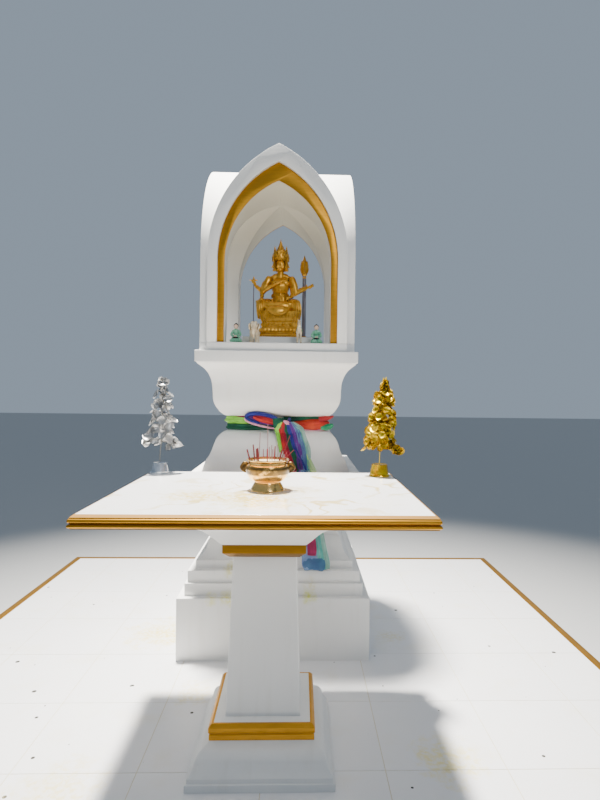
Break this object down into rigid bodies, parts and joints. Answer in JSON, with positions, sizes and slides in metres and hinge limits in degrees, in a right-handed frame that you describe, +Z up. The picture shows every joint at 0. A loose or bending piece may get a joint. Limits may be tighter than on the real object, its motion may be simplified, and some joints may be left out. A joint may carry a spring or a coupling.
{
  "type": "spirit house",
  "caption": "White masonry spirit house: a four-arched canopy over a seated four-faced gilt figure on a waisted pedestal, with an offering table on one tiled plinth.",
  "frame": {"origin": "middle of the plinth's underside, at ground level", "axes": "+Z up, -Y towards the front, where the offering table stands, +X to the right seen from the front"},
  "size_m": [3, 3, 2.579],
  "materials": {
    "white_masonry": "smooth white emulsion over render",
    "floor_tile": "white glazed tile with cream joints",
    "table_marble": "polished white with faint yellow veins",
    "gold_paint": "satin gold paint",
    "gilt_cast": "gilt cast, satin with darker recesses",
    "grey_rod": "grey paint",
    "ivory_glaze": "ivory glaze",
    "green_glaze": "pale green glaze",
    "pot_brass": "polished brass",
    "joss_stick": "dyed red bamboo",
    "silver_foil": "crinkled silver foil",
    "gold_foil": "crinkled gold foil",
    "sash_cloth": "sheer dyed cloth in several colours"
  },
  "bodies": {
    "root": {"plinth_core": "white_masonry", "plinth_tile_floor": "floor_tile", "plinth_nosing": "gold_paint", "base_block": "white_masonry", "base_step_1": "white_masonry", "base_step_2": "white_masonry", "base_step_3": "white_masonry", "lower_drum": "white_masonry", "middle_slab": "white_masonry", "lower_bell": "white_masonry", "upper_bell": "white_masonry", "cornice_slab": "white_masonry", "house_sill": "white_masonry", "canopy_vault": "white_masonry", "gold_band_front": "gold_paint", "gold_band_right": "gold_paint", "gold_band_back": "gold_paint", "gold_band_left": "gold_paint", "statue_dais": "white_masonry", "statue_throne": "gilt_cast", "statue_folded_legs": "gilt_cast", "statue_torso_and_arms": "gilt_cast", "statue_four_faced_head": "gilt_cast", "statue_flame_staff": "grey_rod", "statue_lance": "grey_rod", "attendant_left": "green_glaze", "attendant_right": "green_glaze", "elephant_figure": "ivory_glaze", "horse_figure": "ivory_glaze", "table_foot": "white_masonry", "table_foot_gold_band": "gold_paint", "table_pillar": "white_masonry", "table_neck_gold_band": "gold_paint", "table_capital": "white_masonry", "table_top": "table_marble", "table_edge_moulding": "gold_paint", "incense_pot": "pot_brass", "joss_sticks": "joss_stick", "silver_tree_pot": "silver_foil", "silver_tree": "silver_foil", "gold_tree_pot": "gold_foil", "gold_tree": "gold_foil", "sash_band": "sash_cloth", "sash_knot_and_loop": "sash_cloth", "sash_tails": "sash_cloth"}
  },
  "joints": []
}
